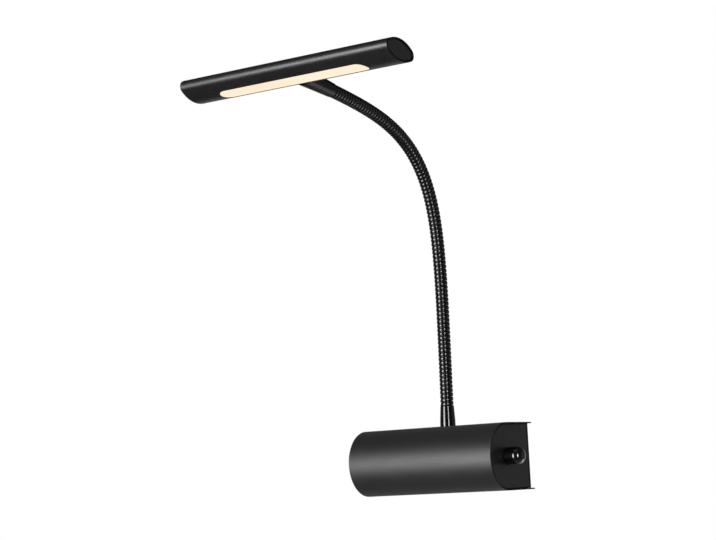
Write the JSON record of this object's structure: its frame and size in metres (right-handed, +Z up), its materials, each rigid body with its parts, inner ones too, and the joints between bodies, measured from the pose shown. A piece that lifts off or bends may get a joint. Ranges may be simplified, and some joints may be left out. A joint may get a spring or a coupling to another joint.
{
  "type": "flexible gooseneck wall light",
  "caption": "Wall light with a sheet-metal base box, a rotary dimmer at its end, a ribbed gooseneck and a slim oval LED head.",
  "frame": {"origin": "middle of the wall bracket's back face, in the plane of the wall", "axes": "+Z up, +Y into the wall, +X along the base box towards the dimmer knob; the light stands out to -Y"},
  "size_m": [0.219, 0.2472, 0.3699],
  "materials": {
    "black_paint": "satin black powder coat",
    "black_gloss_paint": "semi-gloss black paint",
    "black_aluminium": "satin black paint on an aluminium extrusion",
    "knob_black": "glossy black",
    "zinc_steel": "zinc plated",
    "black_screw": "black oxide",
    "brass": "plain brass",
    "white_plastic": "white",
    "dimmer_plastic": "dark grey",
    "lead_insulation": "white insulation",
    "rubber": "black rubber",
    "raw_aluminium": "mill finish",
    "opal_diffuser": "opal, lit warm white",
    "board_white": "white solder mask",
    "led_phosphor": "yellow phosphor"
  },
  "bodies": {
    "base": {"base_shell": "black_paint", "end_plate_left": "black_paint", "end_plate_right": "black_paint", "wall_bracket": "zinc_steel", "cover_screws": "black_screw", "cable_grommet": "rubber", "earth_screw": "brass", "terminal_block": "white_plastic", "terminal_screws": "brass", "led_driver": "white_plastic", "bracket_screws": "zinc_steel", "driver_lead": "lead_insulation", "dimmer_lead": "lead_insulation", "dimmer_body": "dimmer_plastic", "dimmer_washer": "zinc_steel", "dimmer_nut": "zinc_steel", "neck_ferrule": "black_gloss_paint", "neck_washer": "zinc_steel", "neck_nut": "brass", "neck_root": "black_paint"},
    "knob": {"dimmer_knob": "knob_black", "dimmer_shaft": "zinc_steel"},
    "link_01": {"neck_link_01": "black_paint"},
    "link_02": {"neck_link_02": "black_paint"},
    "link_03": {"neck_link_03": "black_paint"},
    "link_04": {"neck_link_04": "black_paint"},
    "link_05": {"neck_link_05": "black_paint"},
    "link_06": {"neck_link_06": "black_paint"},
    "link_07": {"neck_link_07": "black_paint"},
    "link_08": {"neck_link_08": "black_paint"},
    "link_09": {"neck_link_09": "black_paint"},
    "link_10": {"neck_link_10": "black_paint"},
    "link_11": {"neck_link_11": "black_paint"},
    "link_12": {"neck_link_12": "black_paint"},
    "link_13": {"neck_link_13": "black_paint"},
    "link_14": {"neck_link_14": "black_paint"},
    "link_15": {"neck_link_15": "black_paint"},
    "head": {"neck_tip": "black_paint", "head_adapter": "black_aluminium", "head_clamp_block": "raw_aluminium", "head_housing": "black_aluminium", "head_cap_left": "black_aluminium", "head_cap_right": "black_aluminium", "diffuser": "opal_diffuser", "led_board": "board_white", "led_chips": "led_phosphor", "board_carrier": "raw_aluminium", "board_screws": "zinc_steel", "head_lead": "lead_insulation"}
  },
  "joints": [
    {"name": "knob_turn", "type": "hinge", "parent": "base", "child": "knob", "pos_m": [0.0764, -0.0426, 0], "axis": [1, 0, 0], "range_deg": [-145, 145]},
    {"name": "neck_lean", "type": "hinge", "parent": "base", "child": "link_01", "pos_m": [0, -0.01975, 0.06089], "axis": [1, 0.001, 0.001], "range_deg": [-1, 16]},
    {"name": "neck_sway", "type": "hinge", "parent": "link_01", "child": "link_02", "pos_m": [0, -0.0193, 0.08369], "axis": [0, 0.9998, -0.0183], "range_deg": [-15, 15]},
    {"name": "neck_lean_2", "type": "hinge", "parent": "link_02", "child": "link_03", "pos_m": [0, -0.01892, 0.10649], "axis": [1, 0.001, 0.001], "range_deg": [-1, 16]},
    {"name": "neck_sway_2", "type": "hinge", "parent": "link_03", "child": "link_04", "pos_m": [0, -0.01865, 0.12928], "axis": [0, 1, -0.0065], "range_deg": [-15, 15]},
    {"name": "neck_lean_3", "type": "hinge", "parent": "link_04", "child": "link_05", "pos_m": [0, -0.01862, 0.15208], "axis": [1, 0.001, 0.001], "range_deg": [-1, 16]},
    {"name": "neck_sway_3", "type": "hinge", "parent": "link_05", "child": "link_06", "pos_m": [0, -0.01906, 0.17488], "axis": [0, 0.9992, 0.0396], "range_deg": [-15, 15]},
    {"name": "neck_lean_4", "type": "hinge", "parent": "link_06", "child": "link_07", "pos_m": [0, -0.02043, 0.19764], "axis": [1, 0.001, 0.001], "range_deg": [-1, 16]},
    {"name": "neck_arch_4", "type": "hinge", "parent": "link_07", "child": "link_08", "pos_m": [0, -0.02348, 0.22023], "axis": [1, 0.001, 0.001], "range_deg": [-7.36, 3.16]},
    {"name": "neck_arch_3", "type": "hinge", "parent": "link_08", "child": "link_09", "pos_m": [0, -0.02941, 0.24225], "axis": [1, 0.001, 0.001], "range_deg": [-11.13, 4.77]},
    {"name": "neck_arch", "type": "hinge", "parent": "link_09", "child": "link_10", "pos_m": [0, -0.03948, 0.2627], "axis": [1, 0.001, 0.001], "range_deg": [-14, 6]},
    {"name": "neck_arch_2", "type": "hinge", "parent": "link_10", "child": "link_11", "pos_m": [0, -0.05422, 0.2801], "axis": [1, 0.001, 0.001], "range_deg": [-14, 6]},
    {"name": "head_nod", "type": "hinge", "parent": "link_11", "child": "link_12", "pos_m": [0, -0.07273, 0.29341], "axis": [1, 0.001, 0.001], "range_deg": [-11, 9]},
    {"name": "head_turn", "type": "hinge", "parent": "link_12", "child": "link_13", "pos_m": [0, -0.09348, 0.30287], "axis": [0, 0.356, 0.9345], "range_deg": [-17, 17]},
    {"name": "head_nod_2", "type": "hinge", "parent": "link_13", "child": "link_14", "pos_m": [0, -0.11526, 0.3096], "axis": [1, 0.001, 0.001], "range_deg": [-11, 9]},
    {"name": "head_turn_2", "type": "hinge", "parent": "link_14", "child": "link_15", "pos_m": [0, -0.13748, 0.31469], "axis": [0, 0.2035, 0.9791], "range_deg": [-17, 17]},
    {"name": "head_nod_3", "type": "hinge", "parent": "link_15", "child": "head", "pos_m": [0, -0.1599, 0.31888], "axis": [1, 0.001, 0.001], "range_deg": [-11, 9]}
  ],
  "couplings": [
    {"joint": "neck_lean_2", "follows": "neck_lean", "ratio": 1},
    {"joint": "neck_sway_2", "follows": "neck_sway", "ratio": 1},
    {"joint": "neck_lean_3", "follows": "neck_lean", "ratio": 1},
    {"joint": "neck_sway_3", "follows": "neck_sway", "ratio": 1},
    {"joint": "neck_lean_4", "follows": "neck_lean", "ratio": 1},
    {"joint": "neck_arch_4", "follows": "neck_arch", "ratio": 0.525},
    {"joint": "neck_arch_3", "follows": "neck_arch", "ratio": 0.794},
    {"joint": "neck_arch_2", "follows": "neck_arch", "ratio": 1},
    {"joint": "head_nod_2", "follows": "head_nod", "ratio": 1},
    {"joint": "head_turn_2", "follows": "head_turn", "ratio": 1},
    {"joint": "head_nod_3", "follows": "head_nod", "ratio": 1}
  ]
}
